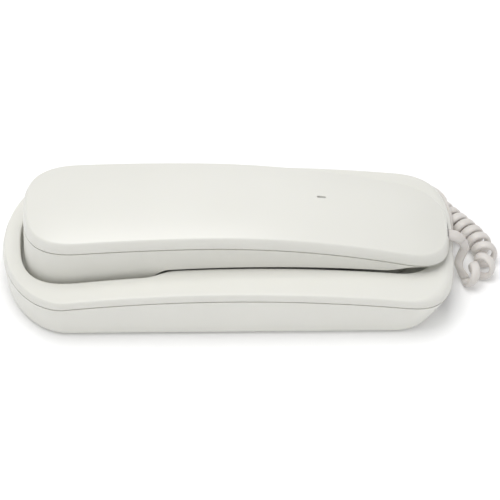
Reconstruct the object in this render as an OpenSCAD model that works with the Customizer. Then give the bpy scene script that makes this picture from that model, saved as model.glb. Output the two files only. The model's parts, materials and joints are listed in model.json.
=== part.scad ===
// Slimline wall telephone, lying on its back: X runs along the phone with the mouthpiece end at +X,
// +Z points out of its front and Z = 0 is the face of its rubber feet.

/* [Base] */
// Length of the base
base_l = 220; // [220:1:222]
// Width of the base at its parting line
base_w = 86; // [86:1:88]
// Height of the base's parting line at mid length
base_part_z = 26.6; // [26.4:0.1:27]
// Fall of the cradle arch, in mm per mm squared
base_arch = 0.0008; // [0.00078:0.00001:0.00082]
// Height of the rim above the parting line
rim_h = 4.2; // [4.1:0.1:4.4]
// Wall thickness of the shells
wall = 2.2; // [2.1:0.1:2.3]

/* [Handset] */
// Earpiece end of the handset
handset_x0 = -100; // [-100:0.5:-99.5]
// Mouthpiece end of the handset
handset_x1 = 107.6; // [107.4:0.1:107.8]
// Half width of the handset at its earpiece end
handset_w0 = 27.7; // [27.5:0.1:27.8]
// Half width of the handset at its mouthpiece end
handset_w1 = 24; // [23.8:0.1:24.2]
// Height of the handset's parting line at its highest point
handset_part_z = 46; // [45.8:0.1:46.4]
// Height of the crown's edge above the parting line
crown_h = 6.5; // [6.3:0.1:6.6]
// Height of the crown's middle above its edge
crown_dome = 2.8; // [2.4:0.1:3]

/* [Keys] */
// Length of a dial key along the handset
key_l = 7.6; // [7:0.2:8]
// Width of a dial key across the handset
key_w = 11; // [10:0.2:11.4]
// Travel of a key
key_travel = 1.2; // [0.8:0.1:1.2]

/* [Wall mounting] */
// Distance between the two wall plate studs
stud_pitch = 98.4; // [98.4:0.1:98.5]
// Radius of a keyhole's entry hole
keyhole_r = 4.5; // [4.4:0.1:4.6]

/* [Cord] */
// Outer diameter of the curly part
coil_d = 12; // [11.6:0.1:12]
// Width of the flat lead at either end
lead_d = 4.4; // [4:0.1:4.4]

/* [Hidden] */

off_white = [0.93, 0.92, 0.89];
shade_white = [0.88, 0.88, 0.85];
cord_grey = [0.85, 0.82, 0.79];
dark = [0.16, 0.16, 0.17];
board_green = [0.12, 0.36, 0.22];
steel = [0.62, 0.63, 0.65];
clear_plug = [0.82, 0.84, 0.86];

half_l = base_l / 2;
half_w = base_w / 2;
foot_h = 1;
floor_z = foot_h + wall;
cap_steps = 7;
mid_steps = 30;

// Outline of a shell: [x0, x1, left cap, its power, right cap, its power, half width at x0, at x1]
base_plan = [-half_l, half_l, 30, 1.9, 28, 3.2, half_w, half_w];
back_plan = [-half_l + 1.8, half_l - 7.8, 29, 1.9, 24, 2.8, half_w - 2.5, half_w - 2.5];
ledge_plan = [-half_l + 1.1, half_l - 4.6, 30, 1.9, 27, 2.8, half_w - 1.2, half_w - 1.6];
handset_plan = [handset_x0, handset_x1, 30, 2.8, 27, 2.9, handset_w0, handset_w1];
crown_plan = [handset_x0 + 2, handset_x1 - 2.4, 28.5, 2.8, 26, 2.9, handset_w0 - 2, handset_w1 - 2];
face_plan = [handset_x0 + 0.4, handset_x1 - 7.6, 29.5, 2.7, 24, 2.5, handset_w0 - 0.1, handset_w1 - 0.3];
well_half = 25.9;
well_plan = [handset_x0 - 1.3, 102, 31, 2.8, 22, 2.4, well_half, well_half - 2.3];
well_lobe = 3.6;

// Seat of the earpiece and mouthpiece cups, and the cradle floor under the keypad
seat_z = 14;
cup_face_z = seat_z + 0.6;
cradle_depth = 6;
face_gap = 0.5;
cup_x = 72;
cup_r = 18.5;
ear_x = -74;

function mix(a, b, t) = a + (b - a) * t;
function ease(t) = let (u = max(0, min(1, t))) u * u * (3 - 2 * u);

// The handset gets lower and narrower towards its mouthpiece end

base_part = function (x) base_part_z - base_arch * x * x;
ledge = function (x) base_part(x) + rim_h;
handset_part = function (x) handset_part_z - (x > -17 ? 0.00138 : 0.00056) * pow(x + 17, 2);
crown = function (x) handset_part(x) + crown_h;
cradle_floor = function (x)
  let (ear = mix(seat_z, ledge(x) - cradle_depth, ease((x + 50) / 22)))
  mix(ear, seat_z, ease((x - 45) / 7));
handset_face = function (x)
  let (ear = mix(cup_face_z, ledge(x) + face_gap, ease((x + 52) / 22)))
  mix(ear, max(handset_part(x) - 1.8, ledge(x) + face_gap), ease((x - 74) / 26));
handset_face_inside = function (x) min(handset_face(x) + wall, handset_part(x) - 0.6);

// The outline moved inwards by d
function inset(p, d) = [p[0] + d, p[1] - d, p[2] - d * 0.8, p[3], p[4] - d * 0.8, p[5], p[6] - d, p[7] - d];

// Points of half an outline, from the +X tip round the +Y side to the -X tip
function half_outline(p) =
  let (
    width = function (x) mix(p[6], p[7], (x - p[0]) / (p[1] - p[0])),
    right = [for (i = [0:cap_steps]) let (a = 90 * i / cap_steps, x = p[1] - p[4] + p[4] * pow(cos(a), 2 / p[5]))
      [x, width(x) * (i == 0 ? 0 : pow(sin(a), 2 / p[5]))]],
    x_a = p[1] - p[4],
    x_b = p[0] + p[2],
    middle = [for (i = [1:mid_steps - 1]) let (x = mix(x_a, x_b, i / mid_steps)) [x, width(x)]],
    left = [for (i = [cap_steps:-1:0]) let (a = 90 * i / cap_steps, x = p[0] + p[2] - p[2] * pow(cos(a), 2 / p[3]))
      [x, width(x) * (i == 0 ? 0 : pow(sin(a), 2 / p[3]))]]
  )
  concat(right, middle, left);

half_count = 2 * cap_steps + mid_steps + 1;
ring_count = 2 * half_count - 2;

// A closed ring of points at the height that z gives for each x
function ring(p, z) =
  let (h = half_outline(p))
  concat([for (q = h) [q[0], q[1], z(q[0])]],
    [for (i = [half_count - 2:-1:1]) [h[i][0], -h[i][1], z(h[i][0])]]);

// The well's outline, wider round the earpiece
function well_ring(d, z) =
  [for (q = ring(inset(well_plan, d), z)) [q[0], q[1] * (1 + well_lobe / well_half * (1 - ease((q[0] + 42) / 16))), q[2]]];

// Blend of two rings, s along and t up, for a rounded edge
function blend_ring(a, b, s, t) =
  [for (i = [0:ring_count - 1]) [mix(a[i][0], b[i][0], s), mix(a[i][1], b[i][1], s), mix(a[i][2], b[i][2], t)]];
function rounded(a, b, steps) =
  [for (k = [1:steps - 1]) let (u = 90 * k / steps) blend_ring(a, b, 1 - cos(u), sin(u))];

// Skin over a list of rings, closed across its first and last ring
module skin(rings) {
  n = ring_count;
  last = (len(rings) - 1) * n;
  sides = [for (r = [0:len(rings) - 2], i = [0:n - 1])
    let (j = (i + 1) % n, a = r * n + i, b = r * n + j, c = a + n, d = b + n)
    each [[a, c, d], [a, d, b]]];
  first_cap = [for (i = [0:half_count - 2])
    let (m = (n - i) % n, k = n - i - 1)
    each (i == 0 ? [[0, 1, k]] : i == half_count - 2 ? [[i, i + 1, m]] : [[i, i + 1, k], [i, k, m]])];
  last_cap = [for (f = first_cap) [last + f[2], last + f[1], last + f[0]]];
  polyhedron(points = [for (r = rings) each r], faces = concat(sides, first_cap, last_cap), convexity = 6);
}

module box(x0, x1, y0, y1, z0, z1) {
  translate([x0, y0, z0])
    cube([x1 - x0, y1 - y0, z1 - z0]);
}
module post(x, y, z0, z1, r, fn = 32) {
  translate([x, y, z0])
    cylinder(r = r, h = z1 - z0, $fn = fn);
}
module tube_post(x, y, z0, z1, r, bore) {
  difference() {
    post(x, y, z0, z1, r);
    post(x, y, z0 - 1, z1 + 1, bore);
  }
}

base_screw_at = [for (x = [-48, 48], y = [-34.5, 34.5]) [x, y]];
foot_at = [for (x = [-82, 82], y = [-25, 25]) [x, y]];
board_post_at = [for (x = [-30, 26], y = [-26, 26]) [x, y]];
handset_screw_at = [[-54, -16], [-54, 16], [45, -18], [45, 18]];
foot_r = 6;
screw_r = 1.5;
boss_r = 3.2;

// Sockets in the mouthpiece end of the base, for a four way cord plug and a six way line plug
socket_z = 7.5;
cord_socket_y = 12;
line_socket_y = -19;
cord_plug_w = 7.65;
cord_plug_h = 6.1;
line_plug_w = 9.65;

// Side switch on the far wall of the base
ringer_x = -20;
ringer_z = 13;

module base_bottom_shell() {
  outer_back = ring(inset(back_plan, 1.1), function (x) foot_h);
  outer_edge = ring(back_plan, function (x) foot_h + 1.4);
  outer_part = ring(base_plan, base_part);
  inner_part = ring(inset(base_plan, wall), base_part);
  inner_back = ring(inset(back_plan, wall), function (x) floor_z);
  color(shade_white)
    difference() {
      union() {
        skin(concat([outer_back], rounded(outer_back, outer_edge, 3), [outer_edge],
          [outer_part, inner_part, inner_back]));
        for (p = board_post_at)
          post(p[0], p[1], floor_z - 0.2, 8, 3);
      }
      for (p = base_screw_at) {
        post(p[0], p[1], 0, floor_z + 1, screw_r + 0.3);
        post(p[0], p[1], 0, foot_h + 1, 3.4);
      }
      for (p = foot_at)
        post(p[0], p[1], 0, foot_h + 1, foot_r + 0.1);
      for (s = [-1, 1]) {
        post(s * stud_pitch / 2, 0, 0, floor_z + 1, keyhole_r);
        box(s * stud_pitch / 2 - 12, s * stud_pitch / 2, -2.3, 2.3, 0, floor_z + 1);
        post(s * stud_pitch / 2 - 12, 0, 0, floor_z + 1, 2.3);
      }
      box(98, 112, cord_socket_y - 5.2, cord_socket_y + 5.2, socket_z - 4.3, socket_z + 4.3);
      box(96, 112, line_socket_y - 6.6, line_socket_y + 6.6, socket_z - 4.3, socket_z + 4.3);
      box(ringer_x - 7, ringer_x + 7, 38, 44, ringer_z - 1.6, ringer_z + 1.6);
    }
}

plunger_x = 40;
tab_x = -38;

module base_top_cover() {
  under_floor = well_ring(-wall, function (x) cradle_floor(x) - wall);
  under_lip = well_ring(-wall, function (x) ledge(x) - wall);
  under_rim = ring(inset(ledge_plan, wall), function (x) ledge(x) - wall);
  inner_part = ring(inset(base_plan, wall), base_part);
  outer_part = ring(base_plan, base_part);
  rim_edge = ring(ledge_plan, ledge);
  lip_edge = well_ring(-0.9, ledge);
  lip_low = well_ring(0, function (x) ledge(x) - 0.9);
  well_low = well_ring(0.5, function (x) cradle_floor(x) + 0.8);
  well_floor = well_ring(1.3, cradle_floor);
  color(off_white)
    difference() {
      union() {
        skin(concat([under_floor, under_lip, under_rim, inner_part, outer_part],
          rounded(outer_part, rim_edge, 4), [rim_edge, lip_edge, lip_low, well_low, well_floor]));
        for (p = base_screw_at)
          post(p[0], p[1], floor_z, 27, boss_r);
      }
      for (p = base_screw_at)
        post(p[0], p[1], 0, 16, screw_r);
      post(plunger_x, 0, 18, 30, 2.4);
      box(tab_x - 1.3, tab_x + 1.3, -6.4, 6.4, 8, 26);
    }
}

// Keypad: four rows of three dial keys, then a row of function keys
key_row_pitch = 11.6;
key_col_pitch = 15;
key_x0 = -25;
function_x = 25;
key_names = [["key_1", "key_2", "key_3"], ["key_4", "key_5", "key_6"], ["key_7", "key_8", "key_9"],
  ["key_star", "key_0", "key_hash"], ["key_redial", "key_flash", "key_mute"]];
function key_x(row) = row == 4 ? function_x : key_x0 + row * key_row_pitch;
function key_y(col) = (1 - col) * key_col_pitch;
function key_len(row) = row == 4 ? 5.6 : key_l;
key_proud = 1.5;
key_top_z = 35.6;
membrane_z = key_top_z + key_travel + 0.2;
board_z = membrane_z + 1.2;

// A block with rounded upright edges
module soft_block(x, y, l, w, z0, z1, r) {
  translate([x, y, z0])
    linear_extrude(z1 - z0)
      union() {
        square([l - 2 * r, w], center = true);
        square([l, w - 2 * r], center = true);
        for (sx = [-1, 1], sy = [-1, 1])
          translate([sx * (l / 2 - r), sy * (w / 2 - r)])
            circle(r = r, $fn = 24);
      }
}

module key(row, col) {
  low_z = handset_face(key_x(row)) - key_proud;
  color(off_white) {
    soft_block(key_x(row), key_y(col), key_len(row), key_w, low_z, key_top_z - 0.8, 1.6);
    soft_block(key_x(row), key_y(col), key_len(row) + 1.6, key_w + 1.6, key_top_z - 0.9, key_top_z, 1.6);
  }
}

// The socket at the mouthpiece end of the handset slopes with the arch
socket_tilt = 20;
socket_x = 98;
handset_socket_z = 29.8;
module at_handset_socket() {
  translate([socket_x, 0, handset_socket_z])
    rotate([0, socket_tilt, 0])
      children();
}
// Room for the socket between the two shells, and its mouth in their end
module socket_pocket() {
  at_handset_socket() {
    box(-5.6, 5.6, -5.2, 5.2, -3.5, 3.5);
    box(5, 16, -4.2, 4.2, -3.3, 3.3);
  }
}
volume_x = 4;
volume_z = 40;

module handset_front_shell() {
  outer_part = ring(handset_plan, handset_part);
  outer_low = ring(face_plan, function (x) handset_face(x) + 1);
  outer_face = ring(inset(face_plan, 1), handset_face);
  inner_face = ring(inset(face_plan, wall + 0.6), handset_face_inside);
  inner_low = ring(inset(face_plan, wall), function (x) mix(handset_face_inside(x), handset_part(x), 0.2));
  inner_part = ring(inset(handset_plan, wall), handset_part);
  color(off_white)
    difference() {
      union() {
        skin(concat([outer_face], rounded(outer_face, outer_low, 3),
          [outer_low, outer_part, inner_part, inner_low, inner_face]));
        difference() {
          post(cup_x, 0, cup_face_z, 29, cup_r, 48);
          post(cup_x, 0, cup_face_z + 2, 40, cup_r - 2, 48);
        }
      }
      post(cup_x, 0, cup_face_z + 2, 32, cup_r - 2, 48);
      socket_pocket();
      for (row = [0:4], col = [0:2])
        soft_block(key_x(row), key_y(col), key_len(row) + 0.6, key_w + 0.6, 26, 35.9, 1.9);
      for (k = [0:5])
        post(ear_x + 7 * cos(60 * k), 7 * sin(60 * k), 12, 18, 1, 16);
      post(ear_x, 0, 12, 18, 1, 16);
      for (y = [-4, 0, 4])
        post(cup_x, y, 12, 18, 0.8, 16);
      for (p = handset_screw_at) {
        post(p[0], p[1], 12, 36, screw_r + 0.2);
        post(p[0], p[1], 12, handset_face(p[0]) + 1, 2.9);
      }
      box(tab_x - 2.4, tab_x + 2.4, -7, 7, 20, 31);
      box(volume_x - 8, volume_x + 8, 22, 29, volume_z - 1.4, volume_z + 1.4);
    }
}

slot_x = 44.8;
slot_y = 4;
slot_l = 4.4;
slot_w = 1.3;

module handset_rear_shell() {
  outer_part = ring(handset_plan, handset_part);
  crown_edge = ring(crown_plan, crown);
  crown_soft = ring(inset(crown_plan, 4), function (x) crown(x) + crown_dome * 0.33);
  crown_mid = ring(inset(crown_plan, 10), function (x) crown(x) + crown_dome * 0.7);
  crown_top = ring(inset(crown_plan, 17), function (x) crown(x) + crown_dome);
  inner_part = ring(inset(handset_plan, wall), handset_part);
  roof_edge = ring(inset(crown_plan, wall - 0.4), function (x) crown(x) - wall + 0.4);
  roof = ring(inset(crown_plan, 12), function (x) crown(x) + 1 - wall);
  color(off_white)
    difference() {
      union() {
        skin(concat([roof, roof_edge, inner_part, outer_part], rounded(outer_part, crown_edge, 4),
          [crown_edge, crown_soft, crown_mid, crown_top]));
        for (p = handset_screw_at)
          post(p[0], p[1], handset_face(p[0]) + wall + 0.3, crown(p[0]) - 1, 2.8);
      }
      for (p = handset_screw_at)
        post(p[0], p[1], 10, handset_face(p[0]) + wall + 12, screw_r);
      socket_pocket();
      soft_block(slot_x, slot_y, slot_l, slot_w, 40, 58, 0.6);
    }
}

module indicator_lens() {
  top_z = crown(slot_x + slot_l / 2) + crown_dome - 0.6;
  color([0.75, 0.76, 0.74]) {
    soft_block(slot_x, slot_y, slot_l - 0.2, slot_w - 0.2, 43, top_z, 0.5);
    soft_block(slot_x, slot_y, slot_l + 2, slot_w + 2, 43, 44.6, 1);
  }
}

module receiver_gasket() {
  color(dark)
    tube_post(ear_x, 0, cup_face_z + wall, cup_face_z + wall + 1.5, 15, 11.4);
}
module receiver_capsule() {
  low = cup_face_z + wall + 1.5;
  color(steel) {
    post(ear_x, 0, low, low + 5, 14, 48);
    post(ear_x, 0, low + 5, low + 8, 9);
  }
}
module microphone_boot() {
  low = cup_face_z + 2;
  color(dark)
    difference() {
      post(cup_x, 0, low, low + 6.5, 7);
      post(cup_x, 0, low + 1, low + 7, 4.9);
      post(cup_x, 0, low - 1, low + 2, 1.5);
    }
}
module microphone_capsule() {
  low = cup_face_z + 3;
  color(steel)
    post(cup_x, 0, low, low + 4.8, 4.85);
}
module keypad_membrane() {
  color([0.8, 0.8, 0.78])
    box(-31, 30, -21.5, 21.5, membrane_z, board_z);
}
module handset_board() {
  color(board_green) {
    box(-34, 37, -21, 21, board_z, board_z + 1.6);
    box(-10, 6, -9, 5, board_z + 1.6, board_z + 4);
    post(28, 12, board_z + 1.6, board_z + 7, 3);
  }
}
module volume_slider() {
  color(dark) {
    box(volume_x - 3, volume_x + 3, 23.2, 27.2, volume_z - 1.1, volume_z + 1.1);
    box(volume_x - 5, volume_x + 5, 21.6, 23.2, volume_z - 1.3, volume_z + 1.3);
  }
}

// A modular socket: a block with a mouth towards +X, as wide as its plug
module socket(l, w, h, mouth_w, mouth_h, depth) {
  difference() {
    box(-l / 2, l / 2, -w / 2, w / 2, -h / 2, h / 2);
    box(l / 2 - depth, l / 2 + 1, -mouth_w / 2, mouth_w / 2, -mouth_h / 2, mouth_h / 2);
  }
}
// A plug's body, pushed in as far as its socket is deep, with its nose at x = 0
module plug(l) {
  color(clear_plug) {
    box(0, l, -cord_plug_w / 2 + 0.2, cord_plug_w / 2 - 0.2, -cord_plug_h / 2 + 0.3, cord_plug_h / 2 - 1.4);
    box(1, l - 4, -1.6, 1.6, cord_plug_h / 2 - 1.4, cord_plug_h / 2 - 0.4);
  }
}
module handset_jack() {
  color(dark)
    at_handset_socket()
      socket(11, 10, 6.8, cord_plug_w, cord_plug_h, 9.6);
}
module handset_plug() {
  at_handset_socket()
    translate([-4, 0, 0])
      plug(13);
}
module base_cord_jack() {
  color(dark)
    translate([97.5, cord_socket_y, socket_z])
      socket(13, 10, 8.2, cord_plug_w, cord_plug_h, 11);
}
module base_plug() {
  translate([93.1, cord_socket_y, socket_z])
    plug(14);
}
module line_jack() {
  color(dark)
    translate([95, line_socket_y, socket_z])
      socket(15, 12.8, 8.2, line_plug_w, cord_plug_h, 12.5);
}

module screw(x, y, head_z, length) {
  post(x, y, head_z, head_z + 1.4, 2.7);
  post(x, y, head_z + 1.4, head_z + length, screw_r);
}
module handset_screws() {
  color(steel)
    for (p = handset_screw_at)
      screw(p[0], p[1], handset_face(p[0]) + 1 - 1.4, 10);
}
module base_screws() {
  color(steel)
    for (p = base_screw_at)
      screw(p[0], p[1], foot_h + 1 - 1.4, 12);
}

module hook_tab() {
  color(off_white) {
    box(tab_x - 1, tab_x + 1, -6, 6, 10.2, 22.6);
    box(tab_x - 1.8, tab_x + 1.8, -6, 6, 10.2, 11.2);
  }
}
plunger_low_z = 15.6;
module hook_plunger() {
  head_z = cradle_floor(plunger_x) + 1.6;
  color(off_white) {
    post(plunger_x, 0, plunger_low_z, head_z, 2.1);
    post(plunger_x, 0, head_z, handset_face(plunger_x) - 0.5, 3.6);
    post(plunger_x, 0, plunger_low_z + 0.6, plunger_low_z + 1.6, 3.2);
  }
}
module hook_switch() {
  color(dark)
    box(plunger_x - 6, plunger_x + 6, -3.4, 3.4, 10.8, plunger_low_z - 0.3);
}
module hook_bracket() {
  color(steel) {
    box(plunger_x - 14, plunger_x + 8.4, -5, 5, 9.6, 10.8);
    for (x = [-7.2, 7.2])
      box(plunger_x + x - 0.6, plunger_x + x + 0.6, -5, 5, 10.6, 13.6);
  }
}
module base_board() {
  color(board_green) {
    box(-35, 31, -31, 31, 8, 9.6);
    box(-4, 12, 6, 16, 9.6, 12);
    post(22, -20, 9.6, 17, 4);
  }
}
module ringer_sounder() {
  color(dark)
    tube_post(-18, -14, 9.6, 14.6, 11, 1.2);
}
module ringer_switch() {
  color(dark) {
    box(ringer_x - 2.5, ringer_x + 2.5, 38.5, 42.4, ringer_z - 1.3, ringer_z + 1.3);
    box(ringer_x - 4, ringer_x + 4, 35, 38.6, ringer_z - 2, ringer_z + 2);
  }
}
module ballast_plate() {
  color(steel)
    box(-92, -64, -22, 22, floor_z, floor_z + 4);
}
module rubber_feet() {
  color(dark)
    for (p = foot_at)
      post(p[0], p[1], 0, foot_h + 1, foot_r);
}

// Cord: a lead from the handset, the curly part round the end and behind the base, and a lead back
coil_z = coil_d / 2 + 0.3;
handset_lead_route = [[107, 0, 26.5], [110.8, 0, 25.1], [114, -0.1, 22.3], [115.7, -0.4, 18], [115, -0.6, 13],
  [112.6, -1.2, 8.8], [110.6, -2.4, 6.8], [110.2, -4.4, coil_z]];
coil_route = [[110.2, -4.4, coil_z], [113.6, -7.6, coil_z], [118.8, -8.4, coil_z], [123.4, -6, coil_z],
  [126.2, -1, coil_z], [126.6, 5, coil_z], [124, 12.2, coil_z], [119, 19.2, coil_z], [112.6, 26.6, coil_z],
  [105.8, 34.2, coil_z], [97.8, 42.8, coil_z], [88, 47.4, coil_z], [76, 48.8, coil_z], [60, 49, coil_z],
  [30, 49, coil_z], [0, 49, coil_z], [-30, 49, coil_z], [-58, 49, coil_z], [-72, 48.9, coil_z]];
base_lead_route = [[-72, 48.9, coil_z], [-78, 48.6, coil_z], [-83, 47.8, 8], [-84, 46.4, 11], [-80, 45.6, 13.6],
  [-72, 45.3, 14.8], [-50, 45.3, 14.8], [-10, 45.3, 14.8], [30, 45.3, 14.8], [66, 45.3, 14.8], [80, 45.5, 15],
  [90, 45, 15.2], [98, 42.3, 15.2], [105, 36.9, 15.2], [109.2, 28.6, 14.6], [110.8, 20.6, 12.9], [111.6, 15.4, 9.8],
  [110.6, 12.4, 8], [107.4, 12, 7.5]];

// A point at t from 0 to 1 along segment k of a smooth curve through the route's points
function route_point(route, k, t) =
  let (
    p0 = route[max(k - 1, 0)],
    p1 = route[k],
    p2 = route[k + 1],
    p3 = route[min(k + 2, len(route) - 1)]
  )
  0.5 * (2 * p1 + (p2 - p0) * t + (2 * p0 - 5 * p1 + 4 * p2 - p3) * t * t + (3 * p1 - p0 - 3 * p2 + p3) * t * t * t);
function smooth_route(route, per) =
  [for (k = [0:len(route) - 2], i = [0:per - 1]) route_point(route, k, i / per), route[len(route) - 1]];

// A round tube swept along a list of points
module swept_tube(path, d, sides) {
  n = len(path);
  unit = function (v) v / norm(v);
  rings = [for (i = [0:n - 1])
    let (
      t = unit(path[min(i + 1, n - 1)] - path[max(i - 1, 0)]),
      u = unit(cross(t, abs(t[2]) > 0.9 ? [0, 1, 0] : [0, 0, 1])),
      v = cross(t, u)
    )
    [for (k = [0:sides - 1]) path[i] + d / 2 * (u * cos(360 * k / sides) + v * sin(360 * k / sides))]];
  faces = concat(
    [[for (k = [sides - 1:-1:0]) k]],
    [for (r = [0:n - 2], k = [0:sides - 1]) let (j = (k + 1) % sides, a = r * sides)
      each [[a + k, a + j, a + sides + j], [a + k, a + sides + j, a + sides + k]]],
    [[for (k = [0:sides - 1]) (n - 1) * sides + k]]);
  polyhedron(points = [for (r = rings) each r], faces = faces, convexity = 6);
}
module handset_lead() {
  color(cord_grey)
    swept_tube(smooth_route(handset_lead_route, 3), lead_d, 10);
}
module curly_cord() {
  color(cord_grey)
    swept_tube(smooth_route(coil_route, 3), coil_d, 12);
}
module base_lead() {
  color(cord_grey)
    swept_tube(smooth_route(base_lead_route, 3), lead_d, 10);
}

base_bottom_shell();
base_top_cover();
handset_front_shell();
handset_rear_shell();
indicator_lens();
receiver_capsule();
receiver_gasket();
microphone_capsule();
microphone_boot();
for (row = [0:4], col = [0:2])
  key(row, col);
keypad_membrane();
handset_board();
volume_slider();
handset_jack();
handset_screws();
hook_tab();
hook_plunger();
hook_switch();
hook_bracket();
base_board();
ringer_sounder();
ringer_switch();
line_jack();
base_cord_jack();
ballast_plate();
rubber_feet();
base_screws();
handset_plug();
base_plug();
handset_lead();
curly_cord();
base_lead();
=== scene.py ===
import math

import bmesh
import bpy
import json
from mathutils import Matrix, Vector


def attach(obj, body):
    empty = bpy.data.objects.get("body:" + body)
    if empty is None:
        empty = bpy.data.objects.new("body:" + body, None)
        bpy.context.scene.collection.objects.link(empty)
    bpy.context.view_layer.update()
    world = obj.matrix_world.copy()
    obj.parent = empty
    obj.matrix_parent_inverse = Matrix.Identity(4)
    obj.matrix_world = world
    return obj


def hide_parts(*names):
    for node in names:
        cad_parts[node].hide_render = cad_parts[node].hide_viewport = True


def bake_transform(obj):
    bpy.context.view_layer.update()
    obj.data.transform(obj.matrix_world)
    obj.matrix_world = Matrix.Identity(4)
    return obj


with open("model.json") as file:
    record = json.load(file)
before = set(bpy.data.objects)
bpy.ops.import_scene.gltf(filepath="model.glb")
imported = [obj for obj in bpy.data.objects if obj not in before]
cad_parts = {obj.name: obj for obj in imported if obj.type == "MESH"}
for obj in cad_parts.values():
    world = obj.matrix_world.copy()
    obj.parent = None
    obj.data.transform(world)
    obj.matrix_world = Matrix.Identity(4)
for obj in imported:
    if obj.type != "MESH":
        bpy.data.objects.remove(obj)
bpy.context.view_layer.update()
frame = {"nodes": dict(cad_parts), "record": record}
MM = 0.001

# --- View ------------------------------------------------------------------------------------
# A long lens on a stand looks down on the phone, which lies on its back with its long side
# towards the lens, turned a few degrees and levelled again by a slight roll.
VIEW_TURN = math.radians(3.0)
VIEW_RISE = math.radians(48.0)
VIEW_ROLL = 0.0306
VIEW_DISTANCE = 3.0
VIEW_TARGET = Vector((0.0, 0.0, 0.025))
VIEW_SLIDE = (0.0105, -0.0057)

lens = bpy.data.cameras.new("lens")
lens.lens = 443.0
lens.clip_end = 20.0
camera = bpy.data.objects.new("camera", lens)
bpy.context.collection.objects.link(camera)
backward = Vector((
    -math.cos(VIEW_RISE) * math.sin(VIEW_TURN),
    -math.cos(VIEW_RISE) * math.cos(VIEW_TURN),
    math.sin(VIEW_RISE),
))
rightward = Vector((math.cos(VIEW_TURN), -math.sin(VIEW_TURN), 0.0))
upward = backward.cross(rightward)
rolled_right = rightward * math.cos(VIEW_ROLL) + upward * math.sin(VIEW_ROLL)
rolled_up = upward * math.cos(VIEW_ROLL) - rightward * math.sin(VIEW_ROLL)
axes = Matrix((rolled_right, rolled_up, backward)).transposed()
place = VIEW_TARGET + backward * VIEW_DISTANCE
place += rolled_right * VIEW_SLIDE[0] + rolled_up * VIEW_SLIDE[1]
camera.matrix_world = Matrix.Translation(place) @ axes.to_4x4()
bpy.context.scene.camera = camera

# --- Handset cord ----------------------------------------------------------------------------
# A flat four-way cord of warm grey vinyl, wound hot on a mandrel so that it springs back into
# a tight curl. A short straight lead hangs from the handset, the curl goes round the end of
# the base and lies behind it, and a long lead comes back along the wall to the base's socket.
CORD_WIDTH = 4.4 * MM
CORD_THICK = 2.6 * MM
COIL_OUTER = 12.0 * MM
COIL_Z = 6.3
CORD_SIDES = 14
STEPS_A_TURN = 26

HANDSET_LEAD = [(107, 0, 26.5), (110.8, 0, 25.1), (114, -0.1, 22.3), (115.7, -0.4, 18), (115, -0.6, 13),
                (112.6, -1.2, 8.8), (110.6, -2.4, 6.8), (110.2, -4.4, COIL_Z)]
COIL = [(110.2, -4.4, COIL_Z), (113.6, -7.6, COIL_Z), (118.8, -8.4, COIL_Z), (123.4, -6, COIL_Z),
        (126.2, -1, COIL_Z), (126.6, 5, COIL_Z), (124, 12.2, COIL_Z), (119, 19.2, COIL_Z),
        (112.6, 26.6, COIL_Z), (105.8, 34.2, COIL_Z), (97.8, 42.8, COIL_Z), (88, 47.4, COIL_Z),
        (76, 48.8, COIL_Z), (60, 49, COIL_Z), (30, 49, COIL_Z), (0, 49, COIL_Z),
        (-30, 49, COIL_Z), (-58, 49, COIL_Z), (-72, 48.9, COIL_Z)]
BASE_LEAD = [(-72, 48.9, COIL_Z), (-78, 48.6, COIL_Z), (-83, 47.8, 8), (-84, 46.4, 11), (-80, 45.6, 13.6),
             (-72, 45.3, 14.8), (-50, 45.3, 14.8), (-10, 45.3, 14.8), (30, 45.3, 14.8), (66, 45.3, 14.8),
             (80, 45.5, 15), (90, 45, 15.2), (98, 42.3, 15.2), (105, 36.9, 15.2), (109.2, 28.6, 14.6),
             (110.8, 20.6, 12.9), (111.6, 15.4, 9.8), (110.6, 12.4, 8), (107.4, 12, 7.5)]


def ease(t):
    """Smooth step from 0 to 1."""
    t = max(0.0, min(1.0, t))
    return t * t * (3 - 2 * t)


def smooth_route(points, step):
    """Evenly spaced points, a step apart, on a smooth curve through a route in millimetres."""
    route = [Vector(p) * MM for p in points]
    fine = []
    for k in range(len(route) - 1):
        before = route[max(k - 1, 0)]
        after = route[min(k + 2, len(route) - 1)]
        here, there = route[k], route[k + 1]
        for i in range(40):
            t = i / 40
            fine.append(0.5 * (2 * here + (there - before) * t
                               + (2 * before - 5 * here + 4 * there - after) * t * t
                               + (3 * here - before - 3 * there + after) * t ** 3))
    fine.append(route[-1])
    even = [fine[0]]
    spare = 0.0
    for a, b in zip(fine, fine[1:]):
        spare += (b - a).length
        if spare >= step:
            even.append(b)
            spare = 0.0
    return even


coil_line = smooth_route(COIL, 0.2 * MM)
coil_length = sum((b - a).length for a, b in zip(coil_line, coil_line[1:]))
OPEN_PITCH = 8.6 * MM
TIGHT_PITCH = 5.3 * MM
OPEN_LENGTH = 24.0 * MM
LEAD_BLEND = 5.0 * MM

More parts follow.
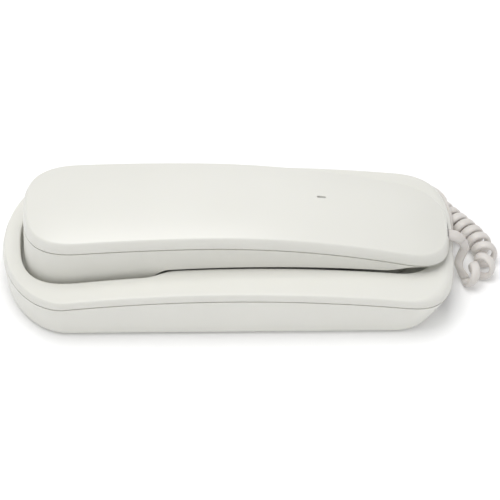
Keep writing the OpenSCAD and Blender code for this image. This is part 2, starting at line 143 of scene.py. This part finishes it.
# The curl: the angle round the coil's axis grows with the distance along it, slowly where the
# first turns are pulled open and faster where they close up.
wire = smooth_route(HANDSET_LEAD, 0.6 * MM)[:-4]
flat_side = []
for i, point in enumerate(wire):
    ahead = (wire[min(i + 1, len(wire) - 1)] - wire[max(i - 1, 0)]).normalized()
    flat_side.append(Vector((0, 1, 0)).lerp(backward.cross(ahead).normalized(), ease(i / 12)))
joins = [len(wire)]
angle = math.radians(-60.0)
travelled = 0.0
last_angle = angle - 1.0
for i in range(1, len(coil_line) - 1):
    here = coil_line[i]
    step = (here - coil_line[i - 1]).length
    travelled += step
    pitch = TIGHT_PITCH + (OPEN_PITCH - TIGHT_PITCH) * (1 - ease((travelled - OPEN_LENGTH) / (16 * MM)))
    angle += 2 * math.pi * step / pitch
    ends = min(ease(travelled / LEAD_BLEND), ease((coil_length - travelled) / LEAD_BLEND))
    if angle - last_angle < 2 * math.pi / STEPS_A_TURN:
        continue
    last_angle = angle
    along = (coil_line[i + 1] - coil_line[i - 1]).normalized()
    side = along.cross(Vector((0, 0, 1))).normalized()
    top = side.cross(along)
    outward = side * math.cos(angle) + top * math.sin(angle)
    radius = (COIL_OUTER - CORD_THICK) / 2 * ends
    wire.append(here + outward * radius)
    flat_side.append(along)
joins.append(len(wire))
back_lead = smooth_route(BASE_LEAD, 0.8 * MM)[3:]
wire += back_lead
flat_side += [Vector((0, 0, 1)) for point in back_lead]
# The wire is eased where the leads meet the curl and at its far end.
EASE_TURNS = 120
eased = ((joins[0] - 18, joins[0] + 14), (joins[1] - 14, joins[1] + 30), (len(wire) - 30, len(wire) - 1))
for turn in range(EASE_TURNS):
    for start, end in eased:
        for i in range(start, end):
            wire[i] = (wire[i - 1] + 2 * wire[i] + wire[i + 1]) / 4


def next_ring(mesh, ring, edges):
    """Extrudes an open ring of edges and returns the new ring, in the old one's order."""
    grown = bmesh.ops.extrude_edge_only(mesh, edges=edges)["geom"]
    fresh = {v for v in grown if isinstance(v, bmesh.types.BMVert)}
    ring = [next(e.other_vert(v) for e in v.link_edges if e.other_vert(v) in fresh) for v in ring]
    return ring, [e for e in grown if isinstance(e, bmesh.types.BMEdge)]


def add_piece(name, mesh, smooth=True):
    """Turns a finished bmesh into an object whose place is in its mesh."""
    for face in mesh.faces:
        face.smooth = smooth
    data = bpy.data.meshes.new(name)
    mesh.to_mesh(data)
    mesh.free()
    piece = bpy.data.objects.new(name, data)
    bpy.context.collection.objects.link(piece)
    return piece


def sweep_flat(name, path, widths, width, thick, growth=0.0):
    """A flat cord with round edges, swept along a path, its width along the given directions.

    It grows by a share of its size towards the start of the path."""
    mesh = bmesh.new()
    ring = bmesh.ops.create_circle(mesh, cap_ends=False, segments=CORD_SIDES, radius=1.0)["verts"]
    mesh.verts.ensure_lookup_table()
    edges = list(mesh.edges)
    for i, here in enumerate(path):
        ahead = path[min(i + 1, len(path) - 1)] - path[max(i - 1, 0)]
        ahead.normalize()
        wide = widths[i] - ahead * widths[i].dot(ahead)
        wide.normalize()
        thin = ahead.cross(wide)
        if i > 0:
            ring, edges = next_ring(mesh, ring, edges)
        size = 1 + growth * (1 - i / (len(path) - 1))
        for k, corner in enumerate(ring):
            turn = 2 * math.pi * k / CORD_SIDES
            across = math.copysign(abs(math.cos(turn)) ** 0.8, math.cos(turn)) * width / 2 * size
            through = math.copysign(abs(math.sin(turn)) ** 0.8, math.sin(turn)) * thick / 2 * size
            corner.co = here + wide * across + thin * through
    bmesh.ops.holes_fill(mesh, edges=[e for e in mesh.edges if e.is_boundary], sides=0)
    bmesh.ops.recalc_face_normals(mesh, faces=mesh.faces)
    return add_piece(name, mesh)


# Directions of the flat side turn smoothly from the leads into the curl.
for turn in range(3):
    ahead_of = flat_side[1:] + flat_side[-1:]
    behind_of = flat_side[:1] + flat_side[:-1]
    flat_side = [(a + b + c).normalized() for a, b, c in zip(behind_of, flat_side, ahead_of)]
cord = sweep_flat("handset_cord", wire, flat_side, CORD_WIDTH, CORD_THICK)


def new_material(name):
    """A node material with its shader, and a texture coordinate node that gives Object coordinates."""
    material = bpy.data.materials.new(name)
    material.use_nodes = True
    nodes = material.node_tree.nodes
    place = nodes.new("ShaderNodeTexCoord")
    return material, nodes, material.node_tree.links, nodes["Principled BSDF"], place.outputs["Object"]


def add_noise(nodes, links, place, scale, detail=3.0, roughness=0.5):
    """Noise of about 1/scale metres on the given coordinates."""
    noise = nodes.new("ShaderNodeTexNoise")
    noise.inputs["Scale"].default_value = scale
    noise.inputs["Detail"].default_value = detail
    noise.inputs["Roughness"].default_value = roughness
    links.new(place, noise.inputs["Vector"])
    return noise.outputs["Fac"]


def tint(nodes, links, factor, dark, light, low=0.3, high=0.7):
    """Colour between two tints, driven by a factor."""
    ramp = nodes.new("ShaderNodeValToRGB")
    ramp.color_ramp.elements[0].position = low
    ramp.color_ramp.elements[0].color = (*dark, 1)
    ramp.color_ramp.elements[1].position = high
    ramp.color_ramp.elements[1].color = (*light, 1)
    links.new(factor, ramp.inputs["Fac"])
    return ramp.outputs["Color"]


def span(nodes, links, factor, low, high):
    """Maps a 0 to 1 factor to a number between low and high."""
    mapped = nodes.new("ShaderNodeMapRange")
    mapped.inputs["To Min"].default_value = low
    mapped.inputs["To Max"].default_value = high
    links.new(factor, mapped.inputs["Value"])
    return mapped.outputs["Result"]


def add_bump(nodes, links, shader, height, strength, distance):
    """Fine relief from a height."""
    bump = nodes.new("ShaderNodeBump")
    bump.inputs["Strength"].default_value = strength
    bump.inputs["Distance"].default_value = distance
    links.new(height, bump.inputs["Height"])
    links.new(bump.outputs["Normal"], shader.inputs["Normal"])


vinyl, nodes, links, shader, place = new_material("cord_vinyl")
mottle = add_noise(nodes, links, place, 90.0)
links.new(tint(nodes, links, mottle, (0.68, 0.645, 0.61), (0.76, 0.73, 0.70)), shader.inputs["Base Color"])
links.new(span(nodes, links, add_noise(nodes, links, place, 400.0), 0.38, 0.52), shader.inputs["Roughness"])
add_bump(nodes, links, shader, add_noise(nodes, links, place, 1500.0), 0.12, 0.0002)
shader.inputs["Subsurface Weight"].default_value = 0.08
shader.inputs["Subsurface Radius"].default_value = (0.004, 0.003, 0.002)
cord.data.materials.append(vinyl)
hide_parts("handset_lead", "curly_cord", "base_lead")
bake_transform(cord)

# The cord's ends run through short boots of the same vinyl, thick at the plug.
BOOT_POINTS = 14
boots = (
    ("handset_boot", "handset", wire[:BOOT_POINTS], flat_side[:BOOT_POINTS]),
    ("base_boot", "base", wire[:-BOOT_POINTS:-1], flat_side[:-BOOT_POINTS:-1]),
)
for name, body, path, sides in boots:
    boot = sweep_flat(name, path, sides, CORD_WIDTH * 1.12, CORD_THICK * 1.16, growth=0.28)
    boot.data.materials.append(vinyl)
    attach(boot, body)

# --- Studio ----------------------------------------------------------------------------------
# A wide white floor and three broad soft lamps: one above, one from the front left, one behind.
floor_mesh = bmesh.new()
bmesh.ops.create_grid(floor_mesh, x_segments=1, y_segments=1, size=4.0)
floor = add_piece("floor", floor_mesh, smooth=False)
paper, nodes, links, shader, place = new_material("white_paper")
links.new(tint(nodes, links, add_noise(nodes, links, place, 6.0), (0.93, 0.93, 0.93), (0.95, 0.95, 0.95)),
          shader.inputs["Base Color"])
shader.inputs["Roughness"].default_value = 0.9
shader.inputs["Specular IOR Level"].default_value = 0.1
shader.inputs["Emission Color"].default_value = (1, 1, 1, 1)
shader.inputs["Emission Strength"].default_value = 0.1
floor.data.materials.append(paper)


def add_lamp(name, position, target, size, power):
    """A square soft lamp that looks at a point."""
    light = bpy.data.lights.new(name, "AREA")
    light.size = size
    light.energy = power
    lamp = bpy.data.objects.new(name, light)
    lamp.location = position
    lamp.rotation_euler = (Vector(target) - Vector(position)).to_track_quat("-Z", "Y").to_euler()
    bpy.context.collection.objects.link(lamp)


add_lamp("top_lamp", (-0.15, 0.0, 1.25), (0, 0, 0), 0.9, 9.6)
add_lamp("front_lamp", (-0.5, -1.2, 0.9), (0, 0, 0.02), 1.0, 0.75)
add_lamp("back_lamp", (0.5, 1.3, 0.9), (0, 0, 0.02), 1.0, 0.6)
sky = bpy.data.worlds.new("sky")
bpy.context.scene.world = sky
sky.use_nodes = True
sky.node_tree.nodes["Background"].inputs["Color"].default_value = (1, 1, 1, 1)
sky.node_tree.nodes["Background"].inputs["Strength"].default_value = 0.52
bpy.context.scene.view_settings.view_transform = "Standard"

# --- Base bottom shell -----------------------------------------------------------------------
# The tray of the base, moulded in warm white ABS with a light sheen. Its walls draw inwards to
# the back, most at the mouthpiece end, and its arched rim meets the top cover in a fine groove.
WALL = 2.2
CAP_STEPS = 26
MID_STEPS = 60
GROOVE = 1.3

BASE_PLAN = (-110, 110, 30, 1.9, 28, 3.2, 43, 43)
BACK_PLAN = (-108.2, 102.2, 29, 1.9, 24, 2.8, 40.5, 40.5)


def base_parting(x):
    return 26.6 - 0.0008 * x * x


def mix(a, b, t):
    return a + (b - a) * t


def inset(plan, d):
    """The outline moved inwards by d: (x0, x1, left cap, its power, right cap, its power, widths)."""
    return (plan[0] + d, plan[1] - d, plan[2] - 0.8 * d, plan[3], plan[4] - 0.8 * d, plan[5],
            plan[6] - d, plan[7] - d)


def plan_ring(plan, height):
    """Points round an outline in millimetres, from the +X tip, at the height given for each x."""
    x0, x1, left, left_power, right, right_power, w0, w1 = plan
    side = []
    for i in range(CAP_STEPS + 1):
        turn = math.pi / 2 * i / CAP_STEPS
        x = x1 - right + right * max(0.0, math.cos(turn)) ** (2 / right_power)
        side.append((x, math.sin(turn) ** (2 / right_power)))
    for i in range(1, MID_STEPS):
        side.append((mix(x1 - right, x0 + left, i / MID_STEPS), 1.0))
    for i in range(CAP_STEPS, -1, -1):
        turn = math.pi / 2 * i / CAP_STEPS
        x = x0 + left - left * max(0.0, math.cos(turn)) ** (2 / left_power)
        side.append((x, math.sin(turn) ** (2 / left_power)))
    half = [Vector((x, y * mix(w0, w1, (x - x0) / (x1 - x0)), height(x))) for x, y in side]
    half[0].y = 0.0
    half[-1].y = 0.0
    return half + [Vector((p.x, -p.y, p.z)) for p in half[-2:0:-1]]


def rounded(start, end, steps):
    """Rings that turn from straight up at the start to level at the end."""
    rings = []
    for k in range(1, steps):
        turn = math.pi / 2 * k / steps
        s, t = 1 - math.cos(turn), math.sin(turn)
        rings.append([Vector((mix(a.x, b.x, s), mix(a.y, b.y, s), mix(a.z, b.z, t)))
                      for a, b in zip(start, end)])
    return rings


def to_spine(plan, height, steps, crown=0.0):
    """Rings that close an outline on its middle line, crowned by so many millimetres."""
    rings = []
    reach = min(plan[6], plan[7]) - 0.01
    for k in range(1, steps + 1):
        t = (k / steps) ** 1.4
        rise = crown * (1 - (1 - t) ** 2)
        smaller = list(inset(plan, reach * t))
        smaller[6:] = [plan[6] * (1 - t), plan[7] * (1 - t)]
        rings.append(plan_ring(smaller, lambda x: height(x) + rise))
    return rings


def make_shell(name, rings, material, body, node):
    """Skins rings of millimetre points, closed at both ends, and rides it in place of its node."""
    mesh = bmesh.new()
    count = len(rings[0])
    ring = list(bmesh.ops.create_circle(mesh, cap_ends=False, segments=count, radius=1.0)["verts"])
    edges = list(mesh.edges)
    for corner, point in zip(ring, rings[0]):
        corner.co = point * MM
    for points in rings[1:]:
        ring, edges = next_ring(mesh, ring, edges)
        for corner, point in zip(ring, points):
            corner.co = point * MM
    bmesh.ops.remove_doubles(mesh, verts=mesh.verts, dist=0.00002)
    bmesh.ops.dissolve_degenerate(mesh, edges=mesh.edges, dist=0.00001)
    bmesh.ops.holes_fill(mesh, edges=[e for e in mesh.edges if e.is_boundary], sides=0)
    bmesh.ops.recalc_face_normals(mesh, faces=mesh.faces)
    piece = add_piece(name, mesh)
    piece.data.set_sharp_from_angle(angle=math.radians(50))
    piece.data.materials.append(material)
    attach(piece, body)
    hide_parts(node)
    return piece


def make_box(mesh, x0, x1, y0, y1, z0, z1, edge=0.0):
    """A block between two corners in millimetres, its edges rounded if asked."""
    block = bmesh.ops.create_cube(mesh, size=1.0)["verts"]
    for v in block:
        u = v.co + Vector((0.5, 0.5, 0.5))
        v.co = Vector((mix(x0, x1, u.x), mix(y0, y1, u.y), mix(z0, z1, u.z))) * MM
    if edge > 0:
        around = {e for v in block for e in v.link_edges}
        block = bmesh.ops.bevel(mesh, geom=list(around), offset=edge * MM, segments=3, affect="EDGES",
                                profile=0.5, material=-1)["verts"]
    return block


def make_post(mesh, x, y, z0, z1, r, sides=40, edge=0.0):
    """An upright cylinder in millimetres, its rims rounded if asked."""
    post = bmesh.ops.create_cone(mesh, cap_ends=True, segments=sides, radius1=r * MM, radius2=r * MM,
                                 depth=(z1 - z0) * MM)["verts"]
    bmesh.ops.translate(mesh, verts=post, vec=Vector((x, y, (z0 + z1) / 2)) * MM)
    if edge > 0:
        rims = {e for v in post for e in v.link_edges if len({round(w.co.z, 7) for w in e.verts}) == 1}
        bmesh.ops.bevel(mesh, geom=list(rims), offset=edge * MM, segments=3, affect="EDGES",
                        profile=0.5, material=-1)
    return post


def make_soft_block(mesh, x, y, length, width, z0, z1, corner, rim=0.0):
    """A block with rounded upright edges, centred at x and y, its lower rim rounded if asked."""
    block = make_box(mesh, x - length / 2, x + length / 2, y - width / 2, y + width / 2, z0, z1)
    upright = {e for v in block for e in v.link_edges if abs(e.verts[0].co.z - e.verts[1].co.z) > 1e-6}
    whole = bmesh.ops.bevel(mesh, geom=list(upright), offset=corner * MM, segments=6, affect="EDGES",
                            profile=0.5, material=-1)["verts"]
    if rim > 0:
        low = {e for v in whole for e in v.link_edges if all(w.co.z < z0 * MM + 1e-6 for w in e.verts)}
        bmesh.ops.bevel(mesh, geom=list(low), offset=rim * MM, segments=4, affect="EDGES",
                        profile=0.5, material=-1)


def cut_away(piece, tool):
    """Takes a tool mesh out of a piece and keeps the result as the piece's own mesh."""
    cutter = add_piece("cutter", tool, smooth=False)
    modifier = piece.modifiers.new("cut", "BOOLEAN")
    modifier.operation = "DIFFERENCE"
    modifier.solver = "EXACT"
    modifier.use_self = True
    modifier.object = cutter
    settled = piece.evaluated_get(bpy.context.evaluated_depsgraph_get())
    whole = bpy.data.meshes.new_from_object(settled)
    piece.modifiers.clear()
    piece.data = whole
    bpy.data.objects.remove(cutter)
    piece.data.set_sharp_from_angle(angle=math.radians(40))


plastic, nodes, links, shader, place = new_material("warm_white_abs")
cloud = add_noise(nodes, links, place, 14.0, detail=2.0)
links.new(tint(nodes, links, cloud, (0.765, 0.761, 0.712), (0.790, 0.786, 0.738)),
          shader.inputs["Base Color"])
links.new(span(nodes, links, add_noise(nodes, links, place, 60.0, detail=4.0), 0.26, 0.38),
          shader.inputs["Roughness"])
add_bump(nodes, links, shader, add_noise(nodes, links, place, 2600.0, detail=2.0), 0.05, 0.0001)
shader.inputs["Subsurface Weight"].default_value = 0.05
shader.inputs["Subsurface Radius"].default_value = (0.003, 0.003, 0.002)
shader.inputs["Coat Weight"].default_value = 0.15
shader.inputs["Coat Roughness"].default_value = 0.25

BACK_RISE = 2.4
TRAY_FLOOR = 3.2
back_edge = plan_ring(BACK_PLAN, lambda x: BACK_RISE)
back_flat = plan_ring(inset(BACK_PLAN, 1.1), lambda x: 1.0)
rings = list(reversed(to_spine(inset(BACK_PLAN, 1.1), lambda x: 1.0, 8)))
rings += [back_flat] + rounded(back_flat, back_edge, 5) + [back_edge]
belly_plan = tuple(mix(a, b, 0.5) for a, b in zip(BACK_PLAN, BASE_PLAN))
belly = plan_ring(belly_plan, lambda x: mix(BACK_RISE, base_parting(x), 0.45))
rings += [belly]
rings += [plan_ring(BASE_PLAN, lambda x: base_parting(x) - 0.35)]
rings += [plan_ring(inset(BASE_PLAN, GROOVE), lambda x: base_parting(x) - 0.2)]
rings += [plan_ring(inset(BASE_PLAN, WALL), lambda x: base_parting(x) - 0.2)]
rings += [plan_ring(inset(BACK_PLAN, WALL), lambda x: TRAY_FLOOR)]
rings += to_spine(inset(BACK_PLAN, WALL), lambda x: TRAY_FLOOR, 6)
bottom_shell = make_shell("bottom_shell", rings, plastic, "base", "base_bottom_shell")

STUD_X = 49.2
BASE_SCREWS = [(x, y) for x in (-48, 48) for y in (-34.5, 34.5)]
FEET = [(x, y) for x in (-82, 82) for y in (-25, 25)]
SOCKET_Z = 7.5
tool = bmesh.new()
for stud in (-STUD_X, STUD_X):
    make_post(tool, stud, 0, -1, 5, 4.5)
    make_box(tool, stud - 12, stud, -2.3, 2.3, -1.1, 5.1)
    make_post(tool, stud - 12, 0, -1.2, 5.2, 2.3)
for x, y in BASE_SCREWS:
    make_post(tool, x, y, -1, 5, 1.8, sides=24)
    make_post(tool, x, y, -1.1, 2, 3.4)
for x, y in FEET:
    make_post(tool, x, y, -1, 2, 6.1, sides=64)
make_box(tool, 98, 114, 6.8, 17.2, SOCKET_Z - 4.3, SOCKET_Z + 4.3)
make_box(tool, 96, 114, -25.6, -12.4, SOCKET_Z - 4.3, SOCKET_Z + 4.3)
make_box(tool, -27, -13, 38, 46, 11.4, 14.6)
cut_away(bottom_shell, tool)

# --- Base top cover --------------------------------------------------------------------------
# The cradle, one moulding with the tray's plastic: a soft rim, an arched ledge, and a well that
# is deep under the two cups of the handset and shallow under its keypad.
LEDGE_PLAN = (-108.9, 105.4, 30, 1.9, 27, 2.8, 41.8, 41.4)
WELL_PLAN = (-101.3, 102, 31, 2.8, 22, 2.4, 25.9, 23.6)
WELL_LOBE = 3.6
WELL_REACH = 22.0
SEAT_Z = 14.0


def ledge(x):
    return base_parting(x) + 4.2


def cradle_floor(x):
    ear = mix(SEAT_Z, ledge(x) - 6.0, ease((x + 50) / 22))
    return mix(ear, SEAT_Z, ease((x - 45) / 7))


def well_ring(d, height):
    """The well's outline, wider round the earpiece."""
    ring = plan_ring(inset(WELL_PLAN, d), height)
    for p in ring:
        p.y *= 1 + WELL_LOBE / WELL_PLAN[6] * (1 - ease((p.x + 42) / 16))
    return ring


def well_to_spine(d, height, steps):
    """Rings that close the well's outline on its middle line."""
    rings = []
    for k in range(1, steps + 1):
        t = (k / steps) ** 1.4
        ring = well_ring(mix(d, WELL_REACH, t), height)
        for p, start in zip(ring, well_ring(d, height)):
            p.y = start.y * (1 - t)
        rings.append(ring)
    return rings


rings = list(reversed(well_to_spine(-WALL, lambda x: cradle_floor(x) - WALL, 8)))
rings += [well_ring(-WALL, lambda x: cradle_floor(x) - WALL), well_ring(-WALL, lambda x: ledge(x) - WALL)]
rings += [plan_ring(inset(LEDGE_PLAN, WALL), lambda x: ledge(x) - WALL)]
rings += [plan_ring(inset(BASE_PLAN, WALL), lambda x: base_parting(x) + 0.2)]
rings += [plan_ring(inset(BASE_PLAN, GROOVE), lambda x: base_parting(x) + 0.2)]
rim_low = plan_ring(inset(BASE_PLAN, 0.02), lambda x: base_parting(x) + 0.35)
rim_top = plan_ring(LEDGE_PLAN, ledge)
rings += [rim_low] + rounded(rim_low, rim_top, 9) + [rim_top]
lip_top = well_ring(-0.9, ledge)
rings += [[a.lerp(b, 0.04) for a, b in zip(rim_top, lip_top)]]
rings += [[a.lerp(b, 0.94) for a, b in zip(rim_top, lip_top)], lip_top]
lip_low = well_ring(0, lambda x: ledge(x) - 0.9)
rings += list(reversed(rounded(lip_low, lip_top, 4))) + [lip_low]
floor_edge = well_ring(1.5, cradle_floor)
wall_foot = well_ring(0.5, lambda x: cradle_floor(x) + 1.0)
rings += [wall_foot] + [[Vector((mix(b.x, a.x, s), mix(b.y, a.y, s), mix(b.z, a.z, s * s))) for a, b in
                         zip(wall_foot, floor_edge)] for s in (0.66, 0.33)] + [floor_edge]
rings += well_to_spine(1.5, cradle_floor, 9)
top_cover = make_shell("top_cover", rings, plastic, "base", "base_top_cover")

PLUNGER_X = 40
TAB_X = -38
tool = bmesh.new()
make_post(tool, PLUNGER_X, 0, 16, 32, 2.4)
make_box(tool, TAB_X - 1.3, TAB_X + 1.3, -6.4, 6.4, 8, 28)
cut_away(top_cover, tool)

# --- Handset front shell ---------------------------------------------------------------------
# The half that holds the keypad, with a deep cup for the ear and a round cup for the mouth.
HANDSET_PLAN = (-100, 107.6, 30, 2.8, 27, 2.9, 27.7, 24.0)
FACE_PLAN = (-99.6, 100, 29.5, 2.7, 24, 2.5, 27.6, 23.7)
CUP_FACE = SEAT_Z + 0.6
CUP_X, CUP_R = 72, 18.5
EAR_X = -74
EAR_HOLES_R = 7


def handset_parting(x):
    return 46 - (0.00138 if x > -17 else 0.00056) * (x + 17) ** 2


def handset_face(x):
    ear = mix(CUP_FACE, ledge(x) + 0.5, ease((x + 52) / 22))
    return mix(ear, max(handset_parting(x) - 1.8, ledge(x) + 0.5), ease((x - 74) / 26))


def inside_face(x):
    return min(handset_face(x) + WALL, handset_parting(x) - 0.6)


face_flat = plan_ring(inset(FACE_PLAN, 1.0), handset_face)
face_low = plan_ring(FACE_PLAN, lambda x: handset_face(x) + 1.0)
rings = list(reversed(to_spine(inset(FACE_PLAN, 1.0), handset_face, 12)))
rings += [face_flat] + rounded(face_flat, face_low, 5) + [face_low]
rings += [plan_ring(inset(HANDSET_PLAN, 0.02), lambda x: handset_parting(x) - 0.4)]
rings += [plan_ring(inset(HANDSET_PLAN, GROOVE), lambda x: handset_parting(x) - 0.2)]
rings += [plan_ring(inset(HANDSET_PLAN, WALL), lambda x: handset_parting(x) - 0.2)]
rings += [plan_ring(inset(FACE_PLAN, WALL + 0.3), inside_face)]
rings += to_spine(inset(FACE_PLAN, WALL + 0.3), inside_face, 8)
front_shell = make_shell("front_shell", rings, plastic, "handset", "handset_front_shell")

KEY_ROWS = [-25.0, -13.4, -1.8, 9.8, 25.0]
KEY_COLUMNS = [15.0, 0.0, -15.0]
KEY_LENGTHS = [7.6, 7.6, 7.6, 7.6, 5.6]
KEY_WIDTH = 11.0
HANDSET_SCREWS = [(-54, -16), (-54, 16), (45, -18), (45, 18)]


def make_socket_pocket(mesh):
    """Room for the cord's socket across both handset shells, sloping with the handset's arch."""
    before = set(mesh.verts)
    make_box(mesh, -5.6, 5.6, -5.2, 5.2, -3.5, 3.5)
    make_box(mesh, 5, 16, -4.2, 4.2, -3.3, 3.3)
    slope = Matrix.Translation(Vector((98, 0, 29.8)) * MM) @ Matrix.Rotation(math.radians(20), 4, "Y")
    bmesh.ops.transform(mesh, matrix=slope, verts=[v for v in mesh.verts if v not in before])


cup = bmesh.new()
cup.from_mesh(front_shell.data)
make_post(cup, CUP_X, 0, CUP_FACE, 28.6, CUP_R, sides=96, edge=1.4)
cup.to_mesh(front_shell.data)
cup.free()
tool = bmesh.new()
make_post(tool, CUP_X, 0, CUP_FACE + 2, 33, CUP_R - 2, sides=72)
for x, length in zip(KEY_ROWS, KEY_LENGTHS):
    for y in KEY_COLUMNS:
        make_soft_block(tool, x, y, length + 0.6, KEY_WIDTH + 0.6, 26, 36, 1.9)
for k in range(6):
    turn = math.pi / 3 * k
    make_post(tool, EAR_X + EAR_HOLES_R * math.cos(turn), EAR_HOLES_R * math.sin(turn), 12, 18, 1, sides=20)
make_post(tool, EAR_X, 0, 12, 18, 1, sides=20)
for y in (-4, 0, 4):
    make_post(tool, CUP_X, y, 12, 18, 0.8, sides=20)
for x, y in HANDSET_SCREWS:
    make_post(tool, x, y, 12, 36, 1.7, sides=24)
    make_post(tool, x, y, 12.1, handset_face(x) + 1, 2.9, sides=32)
make_box(tool, TAB_X - 2.4, TAB_X + 2.4, -7, 7, 20, 31)
make_box(tool, -4, 12, 22, 30, 38.6, 41.4)
make_socket_pocket(tool)
cut_away(front_shell, tool)

# --- Keys --------------------------------------------------------------------------------------
# Fifteen caps of the same white plastic stand through the face of the handset, each on a flange
# that keeps it in. The digits are printed on in a thin grey ink film.
KEY_NAMES = [["1", "2", "3"], ["4", "5", "6"], ["7", "8", "9"], ["star", "0", "hash"],
             ["redial", "flash", "mute"]]
KEY_SIGNS = {"star": "*", "hash": "#", "redial": "", "flash": "", "mute": ""}
KEY_PROUD = 1.5
KEY_TOP = 35.6
INK = 0.12
SIGN_SIZE = 5.2

key_plastic, nodes, links, shader, place = new_material("key_abs")
cloud = add_noise(nodes, links, place, 40.0, detail=2.0)
links.new(tint(nodes, links, cloud, (0.80, 0.795, 0.745), (0.825, 0.82, 0.77)),
          shader.inputs["Base Color"])
links.new(span(nodes, links, add_noise(nodes, links, place, 120.0), 0.34, 0.44),
          shader.inputs["Roughness"])
add_bump(nodes, links, shader, add_noise(nodes, links, place, 3200.0), 0.08, 0.0001)
ink, nodes, links, shader, place = new_material("grey_ink")
film = add_noise(nodes, links, place, 900.0)
links.new(tint(nodes, links, film, (0.045, 0.047, 0.05), (0.07, 0.072, 0.075)), shader.inputs["Base Color"])
shader.inputs["Roughness"].default_value = 0.55


def add_legend(name, sign, x, y, z, body):
    """A sign of thin ink on a key, read from the front with the earpiece up."""
    curve = bpy.data.curves.new(name, "FONT")
    curve.body = sign
    curve.size = SIGN_SIZE
    curve.extrude = INK / 2
    curve.align_x = "CENTER"
    curve.align_y = "CENTER"
    source = bpy.data.objects.new("sign", curve)
    bpy.context.collection.objects.link(source)
    settled = source.evaluated_get(bpy.context.evaluated_depsgraph_get())
    data = bpy.data.meshes.new_from_object(settled)
    bpy.data.objects.remove(source)
    for v in data.vertices:
        u, w, h = v.co
        v.co = Vector((x - w, y - u, z - h)) * MM
    legend = bpy.data.objects.new(name, data)
    bpy.context.collection.objects.link(legend)
    data.materials.clear()
    data.materials.append(ink)
    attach(legend, body)


for x, length, names in zip(KEY_ROWS, KEY_LENGTHS, KEY_NAMES):
    low = handset_face(x) - KEY_PROUD
    for y, label in zip(KEY_COLUMNS, names):
        mesh = bmesh.new()
        make_soft_block(mesh, x, y, length, KEY_WIDTH, low, KEY_TOP - 0.8, 1.6, rim=0.5)
        make_soft_block(mesh, x, y, length + 1.6, KEY_WIDTH + 1.6, KEY_TOP - 0.9, KEY_TOP, 1.6)
        key = add_piece("cap_" + label, mesh)
        key.data.set_sharp_from_angle(angle=math.radians(40))
        key.data.materials.append(key_plastic)
        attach(key, "key_" + label)
        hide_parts("key_" + label)
        sign = KEY_SIGNS.get(label, label)
        if sign:
            add_legend("legend_" + label, sign, x, y, low - INK / 2, "key_" + label)

# --- Handset rear shell ----------------------------------------------------------------------
# The back of the handset, seen uppermost: a crowned cap with a soft edge, and a short slot
# near the mouthpiece end with a light pipe behind it.
CROWN_PLAN = (-98, 105.2, 28.5, 2.8, 26, 2.9, 25.7, 22.0)
CROWN_H = 6.5
CROWN_DOME = 2.8


def crown(x):
    return handset_parting(x) + CROWN_H


edge_low = plan_ring(inset(HANDSET_PLAN, 0.02), lambda x: handset_parting(x) + 0.4)
edge_top = plan_ring(CROWN_PLAN, crown)
rings = list(reversed(to_spine(inset(CROWN_PLAN, 2), lambda x: crown(x) - WALL, 6)))
rings += [plan_ring(inset(CROWN_PLAN, 2), lambda x: crown(x) - WALL)]
rings += [plan_ring(inset(HANDSET_PLAN, WALL), lambda x: handset_parting(x) + 0.2)]
rings += [plan_ring(inset(HANDSET_PLAN, GROOVE), lambda x: handset_parting(x) + 0.2)]
rings += [edge_low] + rounded(edge_low, edge_top, 10) + [edge_top]
rings += to_spine(CROWN_PLAN, crown, 16, crown=CROWN_DOME)
rear_shell = make_shell("rear_shell", rings, plastic, "handset", "handset_rear_shell")

SLOT_X, SLOT_Y = 44.8, 4.0
tool = bmesh.new()
make_soft_block(tool, SLOT_X, SLOT_Y, 4.4, 1.3, 40, 60, 0.6)
make_socket_pocket(tool)
cut_away(rear_shell, tool)

# --- Works and fittings ----------------------------------------------------------------------
# What the shells hide or show only at their openings: boards of green masked laminate, drawn
# cans, rubber boots and feet, zinc plated screws, clear plugs, nylon sockets and switches.
FINISHES = {
    # slot: (dark tint, light tint, grain scale, roughness low, high, metallic, bump)
    "membrane": ((0.44, 0.44, 0.42), (0.5, 0.5, 0.48), 60.0, 0.6, 0.75, 0.0, 0.1),
    "circuit_board": ((0.012, 0.075, 0.03), (0.02, 0.11, 0.045), 220.0, 0.3, 0.45, 0.0, 0.15),
    "capsule_metal": ((0.5, 0.5, 0.5), (0.62, 0.62, 0.61), 500.0, 0.25, 0.4, 1.0, 0.08),
    "steel": ((0.42, 0.43, 0.45), (0.55, 0.56, 0.58), 700.0, 0.25, 0.42, 1.0, 0.12),
    "rubber": ((0.018, 0.018, 0.018), (0.03, 0.03, 0.03), 900.0, 0.7, 0.85, 0.0, 0.25),
    "dark_plastic": ((0.028, 0.028, 0.03), (0.042, 0.042, 0.045), 1200.0, 0.42, 0.55, 0.0, 0.12),
    "lens": ((0.52, 0.52, 0.5), (0.6, 0.6, 0.58), 200.0, 0.12, 0.2, 0.0, 0.02),
    "clear_plug": ((0.62, 0.65, 0.68), (0.7, 0.73, 0.76), 150.0, 0.06, 0.14, 0.0, 0.02),
}
finishes = {"shell": plastic, "keys": key_plastic, "cord": vinyl}
for slot, (dark, light, grain, low, high, metallic, bump) in FINISHES.items():
    finish, nodes, links, shader, place = new_material(slot + "_finish")
    texture = add_noise(nodes, links, place, grain, detail=4.0)
    links.new(tint(nodes, links, texture, dark, light), shader.inputs["Base Color"])
    links.new(span(nodes, links, texture, low, high), shader.inputs["Roughness"])
    add_bump(nodes, links, shader, add_noise(nodes, links, place, grain * 4), bump, 0.0002)
    shader.inputs["Metallic"].default_value = metallic
    if slot == "clear_plug":
        shader.inputs["Transmission Weight"].default_value = 0.75
        shader.inputs["IOR"].default_value = 1.58
    finishes[slot] = finish
for part in frame["record"]["subparts"]:
    node = frame["nodes"][part["node"]]
    node.data.materials.clear()
    node.data.materials.append(finishes[part["material_slot"]])
